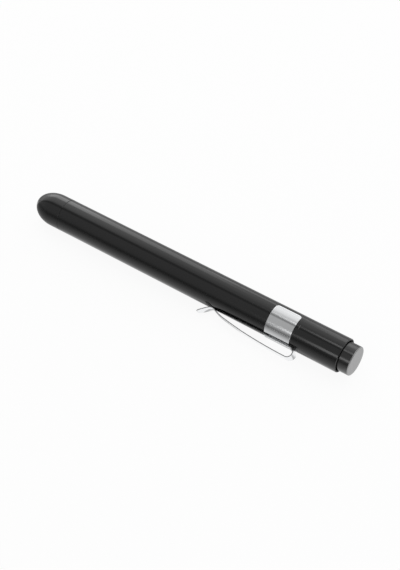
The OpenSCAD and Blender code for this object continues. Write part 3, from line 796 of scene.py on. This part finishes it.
# Cells: two AAA cells in line, each a nickel-plated steel can in a shrunk film sleeve, closed at its flat
# end by a moulded seal and a plated cap. The film is left plain.
cell_steel = turned_metal("cell_steel", grey(0.5, 0.01), grey(0.62, 0.015), rough=0.18)
film, place = finish("cell_film", IOR=1.48)
wrinkle = grain(place, size=1.1 * MM, stretch=(8, 1, 1), detail=3.0)
shade = grain(place, size=9 * MM, stretch=(2, 1, 1))
vary(
    film,
    Base_Color=tint(shade, (0.1, 0.118, 0.145, 1), (0.13, 0.15, 0.18, 1)),
    Roughness=0.22 + wrinkle * 0.12,
    Normal=relief(wrinkle, depth=0.01 * MM),
)
cell_seal = moulded("cell_seal", grey(0.04), grey(0.065), rough=0.45)
for cell in ("front_cell", "rear_cell"):
    dress(cell_steel, cell + "_can", cell + "_cap")
    dress(film, cell + "_sleeve")
    dress(cell_seal, cell + "_seal")

# Nose cap: turned from aluminium bar with a long round nose, bored from behind for the lamp and anodised
# with the barrel. Its spigot has an O-ring groove in a plain land and then the screw thread.
nose_length = 14.6 * MM
dome_length = 9.5 * MM
dome_steps = 40
aperture_r = 2.55 * MM
aperture_bevel = 0.25 * MM
spigot_clear = 0.05 * MM
nose_bore_r = 4.3 * MM
groove_width = 0.7 * MM
groove_depth = 0.59 * MM
groove_setback = 0.9 * MM
land_slope = 0.3 * MM
nose_rim_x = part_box("nose_cap")[0].x
spigot_end_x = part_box("nose_cap")[1].x
flange_seat_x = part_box("led_holder")[0].x
dome_tip_x = seam_x - nose_length
spigot_r = end_bore_r - spigot_clear
groove_floor_r = spigot_r - groove_depth
groove_x = seam_x + groove_setback - groove_width / 2
groove_end_x = seam_x + groove_setback + groove_width / 2
nose_thread_x = land_end_x + 0.6 * MM
nose_thread_end_x = spigot_end_x - 0.35 * MM
rim_turn = math.asin((aperture_r + aperture_bevel) / barrel_r)
dome_outline = []
for k in range(dome_steps + 1):
    turn = rim_turn + (quarter_turn - rim_turn) * k / dome_steps
    dome_outline.append((dome_tip_x + dome_length * (1 - math.cos(turn)), barrel_r * math.sin(turn)))
nose_outline = eased([
    (nose_rim_x + aperture_bevel, aperture_r), *dome_outline,
    (seam_x - seam_bevel, barrel_r), (seam_x, barrel_r - seam_bevel), (seam_x, spigot_r),
    (groove_x, spigot_r), (groove_x, groove_floor_r),
    (groove_end_x, groove_floor_r), (groove_end_x, spigot_r),
    (land_end_x, spigot_r), (land_end_x + land_slope, thread_core_r), (spigot_end_x, thread_core_r),
    (spigot_end_x, nose_bore_r), (flange_seat_x, nose_bore_r), (flange_seat_x, aperture_r),
], edge_round)
nose_finish = anodised("nose_anodised", (nose_rim_x, seam_x))
nose_mesh = lathe(nose_outline, barrel_sides)
piece("nose_shell", nose_mesh, [nose_finish], "nose", ["nose_cap"])
nose_thread = screw_thread(
    nose_thread_x, nose_thread_end_x, thread_core_r, spigot_r - thread_clear, phase=math.pi,
)
piece("nose_thread", nose_thread, [nose_finish], "nose")

# O-ring: a moulded nitrile rubber ring in the nose cap's groove, which seals the screwed joint and keeps
# it from working loose. It has the dull bloom of greased rubber.
rubber, place = finish("seal_rubber", IOR=1.5)
greased = grain(place, size=0.9 * MM, detail=3.0)
skin = grain(place, size=0.05 * MM)
vary(
    rubber,
    Base_Color=tint(greased, grey(0.009), grey(0.02)),
    Roughness=0.3 + greased * 0.25,
    Normal=relief(skin, depth=0.004 * MM),
)
dress(rubber, "nose_o_ring")

# Lamp: a 5 mm light-emitting diode. Its clear epoxy body is cast round a stamped, tinned lead frame:
# one lead carries a cup with the chip under yellow phosphor, and a gold wire joins the chip to the other.
lamp_r = 2.5 * MM
flange_r = 2.9 * MM
lamp_sides = 96
lamp_steps = 24
lamp_low, lamp_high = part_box("led_lamp")
lamp_outline = [(lamp_low.x, 0.0)]
for k in range(1, lamp_steps + 1):
    turn = quarter_turn * k / lamp_steps
    lamp_outline.append((lamp_low.x + lamp_r * (1 - math.cos(turn)), lamp_r * math.sin(turn)))
lamp_outline += [
    (flange_seat_x, lamp_r), (flange_seat_x, flange_r), (lamp_high.x, flange_r), (lamp_high.x, 0.0),
]
epoxy, place = finish("lamp_epoxy", IOR=1.53, Transmission_Weight=1.0)
flow = grain(place, size=1.2 * MM, stretch=(2, 1, 1))
vary(
    epoxy,
    Base_Color=tint(flow, (0.93, 0.95, 0.97, 1), (0.99, 0.995, 1.0, 1)),
    Roughness=0.015 + flow * 0.03,
)
lamp_body = lathe(eased(lamp_outline, edge_round), lamp_sides)
piece("lamp_body", lamp_body, [epoxy], "nose", ["led_lamp"])
tinned = turned_metal("tinned_lead", grey(0.52, -0.01), grey(0.64, -0.005), rough=0.2)
dress(tinned, "led_leads")
frame_top_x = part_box("led_leads")[0].x
cup_r = 0.78 * MM
cup_rim_r = 0.62 * MM
cup_floor_r = 0.34 * MM
cup_round = 0.03 * MM
cup_sides = 48
cup_rim_x = frame_top_x - 0.1 * MM
cup_floor_x = frame_top_x + 0.24 * MM
cup_back_x = frame_top_x + 0.5 * MM
cup_outline = eased([
    (cup_back_x, 0.0), (cup_back_x, cup_r), (cup_rim_x, cup_r),
    (cup_rim_x, cup_rim_r), (cup_floor_x, cup_floor_r), (cup_floor_x, 0.0),
], cup_round)
piece("lamp_cup", lathe(cup_outline, cup_sides), [tinned], "nose")
phosphor, place = finish("lamp_phosphor", IOR=1.5)
powder = grain(place, size=0.06 * MM, detail=3.0)
vary(
    phosphor,
    Base_Color=tint(powder, (0.72, 0.5, 0.03, 1), (0.86, 0.7, 0.09, 1)),
    Roughness=0.45 + powder * 0.2,
    Normal=relief(powder, depth=0.006 * MM),
)
chip_r = 0.55 * MM
chip_dome = 0.06 * MM
chip_steps = 8
chip_back_r = 0.37 * MM
chip_back_x = frame_top_x + 0.2 * MM
chip_outline = [(chip_back_x, 0.0), (chip_back_x, chip_back_r)]
for k in range(chip_steps):
    turn = quarter_turn * k / chip_steps
    chip_outline.append((frame_top_x - chip_dome * math.sin(turn), chip_r * math.cos(turn)))
chip_outline.append((frame_top_x - chip_dome, 0.0))
piece("lamp_chip", lathe(chip_outline, cup_sides), [phosphor], "nose")
gold, place = finish("bond_gold", Metallic=1.0)
drawn = grain(place, size=0.03 * MM)
vary(
    gold,
    Base_Color=tint(drawn, (0.85, 0.6, 0.22, 1), (0.95, 0.72, 0.32, 1)),
    Roughness=0.12 + drawn * 0.1,
)
bond_wire_r = 0.025 * MM
bond_span = 1.15 * MM
bond_lift = 0.5 * MM
bond_steps = 12
bond_x = frame_top_x - 0.02 * MM
bond_points = []
for k in range(bond_steps + 1):
    share = k / bond_steps
    lift = bond_lift * math.sin(math.pi * share)
    bond_points.append(Vector((bond_x - lift, axis_y, axis_z - bond_span * share)))
piece("bond_wire", wire(bond_points, bond_wire_r, sides=8), [gold], "nose")

# Lamp stack: a moulded bush presses the lamp forward, a round printed board behind it carries the
# resistor and a brass centre contact, and a screwed brass ring clamps them in the nose and earths them.
dress(moulded("holder_plastic", grey(0.56, 0.06), grey(0.68, 0.06), rough=0.45), "led_holder")
resist, place = finish("board_resist", IOR=1.52)
weave_y = grain(place, size=0.25 * MM, stretch=(4, 6, 1), detail=1.0)
weave_z = grain(place, size=0.25 * MM, stretch=(4, 1, 6), detail=1.0)
vary(
    resist,
    Base_Color=tint(weave_y * weave_z * 2.0, (0.012, 0.085, 0.032, 1), (0.03, 0.16, 0.07, 1)),
    Roughness=0.24 + weave_y * 0.12,
    Normal=relief(weave_y + weave_z, depth=0.006 * MM),
)
dress(resist, "led_board")
dress(moulded("resistor_body", grey(0.022), grey(0.045), rough=0.35, speck=0.1 * MM), "board_resistor")
dress(brass, "board_contact", "nose_retainer")

# Studio: a pale floor, and a light tent over it that is brighter behind the penlight than on the camera's
# side. Soft boxes and strips behind, above and in front draw the barrel's long highlights, and a grey
# card on the floor, which only reflections see, darkens what the barrel's lower side reflects. The card
# is painted shade: the clip's shadow on the floor, and a floor that grows dimmer away from the barrel.
floor_half = 3.0
floor_share = 0.93
tent_r = 0.9
tent_half_length = 1.3
straight_arches = 12
end_arches = 12
arch_steps = 48
steepest_end = math.radians(87)
tent_levels = [
    (0.0, 0.13), (0.03, 0.15), (0.12, 0.34), (0.2, 0.38), (0.4, 0.4), (0.43, 0.2), (0.48, 0.2),
    (0.51, 0.52), (0.57, 0.56), (0.65, 0.78), (0.78, 0.88), (0.87, 0.7), (0.96, 0.5), (1.0, 0.4),
]
card_half = 0.6
card_lift = 0.05 * MM
# The card's grey, which reflections see as painted shade.
card_level = 0.13


def seen_plainly(signal):
    """1 for what the camera sees, itself or in a mirror or through glass, and 0 for other light."""
    camera_ray = signal.node("LightPath", output="Is Camera Ray")
    rays = camera_ray.socket.node.outputs
    glossy_ray = Signal(signal.tree, rays["Is Glossy Ray"])
    return camera_ray + glossy_ray + Signal(signal.tree, rays["Is Transmission Ray"])


def show(shader, output="Material Output"):
    """Makes a shader what its surface, or the world, shows."""
    tree = shader.tree
    tree.links.new(shader.socket, tree.nodes[output].inputs["Surface"])


def stage_object(name, mesh, material):
    """A piece of the studio, which isn't part of the penlight."""
    data = bpy.data.meshes.new(name)
    mesh.to_mesh(data)
    mesh.free()
    data.materials.append(material)
    made = bpy.data.objects.new(name, data)
    bpy.context.scene.collection.objects.link(made)
    return made


floor_mesh = bmesh.new()
bmesh.ops.create_grid(floor_mesh, x_segments=8, y_segments=8, size=floor_half)
floor_finish, place = finish("floor_white", Base_Color=grey(0.9), Roughness=0.6)
seen = seen_plainly(place)
white = seen.node("Emission", None, {"Color": grey(1.0), "Strength": 1.0})
paper = Signal(seen.tree, seen.tree.nodes["Principled BSDF"].outputs[0])
show(seen.node("MixShader", None, {0: seen * floor_share, 1: paper, 2: white}))
stage_object("studio_floor", floor_mesh, floor_finish)
tent_mesh = bmesh.new()
arches = []
for k in range(-straight_arches - end_arches, straight_arches + end_arches + 1):
    past_straight = max(abs(k) - straight_arches, 0)
    bulge = min(quarter_turn * past_straight / end_arches, steepest_end)
    reach = tent_half_length * min(abs(k), straight_arches) / straight_arches + tent_r * math.sin(bulge)
    arch_r = tent_r * math.cos(bulge)
    arches.append([
        tent_mesh.verts.new((math.copysign(reach, k), -arch_r * math.cos(turn), arch_r * math.sin(turn)))
        for turn in (math.pi * step / arch_steps for step in range(arch_steps + 1))
    ])
for near, far in zip(arches, arches[1:]):
    for k in range(arch_steps):
        tent_mesh.faces.new((near[k], near[k + 1], far[k + 1], far[k]))
tent_finish, place = finish("tent_cloth")
sideways = coordinate(place, "Y")
upward = coordinate(place, "Z")
lean = place.math("ARCTAN2", upward, -1.0 * sideways) * (1 / math.pi)
stops = [(position, grey(level)) for position, level in tent_levels]
glow = place.node("ValToRGB", {"stops": stops}, {0: lean})
noseward = -1.0 * coordinate(place, "X")
nose_end = ramp(lean, low=0.5, high=0.56) * ramp(noseward, low=0.38, high=0.62)
glow = tint(nose_end * 0.45, glow, grey(1.4))
show(place.node("Emission", None, {"Color": glow, "Strength": 1.0}))
tent = stage_object("studio_tent", tent_mesh, tent_finish)
tent.visible_camera = False
tent.visible_shadow = False


def soft_box(name, elevation, x, reach, width, height, brightness):
    """A soft box or strip that looks at the penlight.
    Its elevation, in degrees, runs from the camera's side over the top."""
    light = bpy.data.lights.new(name, "AREA")
    light.shape = "RECTANGLE"
    light.size = width
    light.size_y = height
    light.energy = brightness * math.pi * width * height
    made = bpy.data.objects.new(name, light)
    bpy.context.scene.collection.objects.link(made)
    turn = math.radians(elevation)
    spot = Vector((x, -reach * math.cos(turn), reach * math.sin(turn)))
    made.location = spot
    made.rotation_euler = (Vector((x, 0, 0)) - spot).to_track_quat("-Z", "Y").to_euler()
    made.visible_camera = False
    return made


fill = soft_box("fill_soft_box", elevation=100, x=0.0, reach=0.85, width=1.6, height=1.2, brightness=0.6)
fill.visible_glossy = False
soft_box("rear_soft_box", elevation=153, x=-0.65, reach=0.75, width=0.7, height=0.46, brightness=0.68)
soft_box("nose_soft_box", elevation=153, x=-0.88, reach=0.76, width=0.8, height=0.46, brightness=0.5)
soft_box("tail_soft_box", elevation=153, x=0.01, reach=0.75, width=0.4, height=0.46, brightness=0.72)
soft_box("low_strip", elevation=164, x=-0.25, reach=0.75, width=0.13, height=0.22, brightness=0.6)
soft_box("front_strip", elevation=29, x=0.06, reach=0.75, width=0.504, height=0.18, brightness=1.75)
soft_box("top_strip", elevation=91, x=0.06, reach=0.75, width=0.502, height=0.13, brightness=1.4)
# The card is painted shade. It covers more of the floor further from the barrel, for a dimmer floor there.
# Near the clip it covers only a strip, a painted shadow of the clip.
card_corners = [
    (-card_half, -card_half), (tail_x, -card_half), (tail_x, card_half), (-card_half, card_half),
]
card_mesh = bmesh.new()
card_mesh.faces.new([card_mesh.verts.new((x, y, card_lift)) for x, y in card_corners])
card_finish, place = finish("shade_card")
along = coordinate(place, "X")
outward = axis_y - coordinate(place, "Y")
shade_x = seam_x + 8 * MM
shade_far = 14 * MM
shade_near = 7 * MM
beyond = place.math("MAXIMUM", shade_x - along, 0.0)
apart = place.node("Math", {"operation": "SQRT"}, {0: outward * outward + beyond * beyond})
falling = place.math("MAXIMUM", 1.0 - shade_far / (apart + shade_near), 0.0)
clip_middle_x = (tip_x + wall_x) / 2
clip_half = (wall_x - tip_x) / 2
by_clip = ramp(abs(along - clip_middle_x), low=clip_half + 8 * MM, high=clip_half + 2 * MM)
by_clip = by_clip * ramp(apart, low=11 * MM, high=9.3 * MM)
clip_shadow_strip = ramp(apart, low=3.5 * MM, high=7 * MM) * ramp(apart, low=7.4 * MM, high=6.8 * MM)
front_cover = falling + by_clip * (clip_shadow_strip * 0.6 - falling)
front_cover = front_cover * ramp(outward, low=0.0, high=1 * MM)
# Behind the barrel the card paints shade on the floor too, as reflections see it.
rear_cover = ramp(outward, low=-2 * MM, high=-6 * MM) * 0.55
clear = place.node("BsdfTransparent")
# The card's grey emission is painted shade for what reflections see of the floor.
painted_shade = place.node("Emission", None, {"Color": grey(card_level), "Strength": 1.0})
show(place.node("MixShader", None, {0: front_cover + rear_cover, 1: clear, 2: painted_shade}))
card = stage_object("shade_card", card_mesh, card_finish)
card.visible_camera = False
card.visible_diffuse = False
card.visible_transmission = False
card.visible_shadow = False
world = bpy.data.worlds.new("studio_room")
bpy.context.scene.world = world
world.use_nodes = True
seen = seen_plainly(Signal(world.node_tree))
room = seen.node("Background", None, {"Color": grey(0.6), "Strength": 1.0})
plain = seen.node("Background", None, {"Color": grey(1.0), "Strength": 1.0})
show(seen.node("MixShader", None, {0: seen, 1: room, 2: plain}), "World Output")
bpy.context.scene.view_settings.view_transform = "Standard"

# Camera: above the penlight's tail and to its clip side, as in the photograph, with a long lens.
# Its focal length in pixels is set against the photograph's long side of 570.
camera_place = Vector((188.571, -240.470, 334.564)) * MM
camera_aim = Vector((2.313, 5.992, 0.114)) * MM
camera_roll = math.radians(-2.105)
focal_pixels = 1200
frame_pixels = 570
sensor_width = 36.0
lens = bpy.data.cameras.new("camera")
lens.sensor_width = sensor_width
lens.lens = focal_pixels / frame_pixels * sensor_width
camera = bpy.data.objects.new("camera", lens)
bpy.context.scene.collection.objects.link(camera)
looking = (camera_aim - camera_place).to_track_quat("-Z", "Y").to_matrix().to_4x4()
camera.matrix_world = Matrix.Translation(camera_place) @ looking @ Matrix.Rotation(camera_roll, 4, "Z")
bpy.context.scene.camera = camera
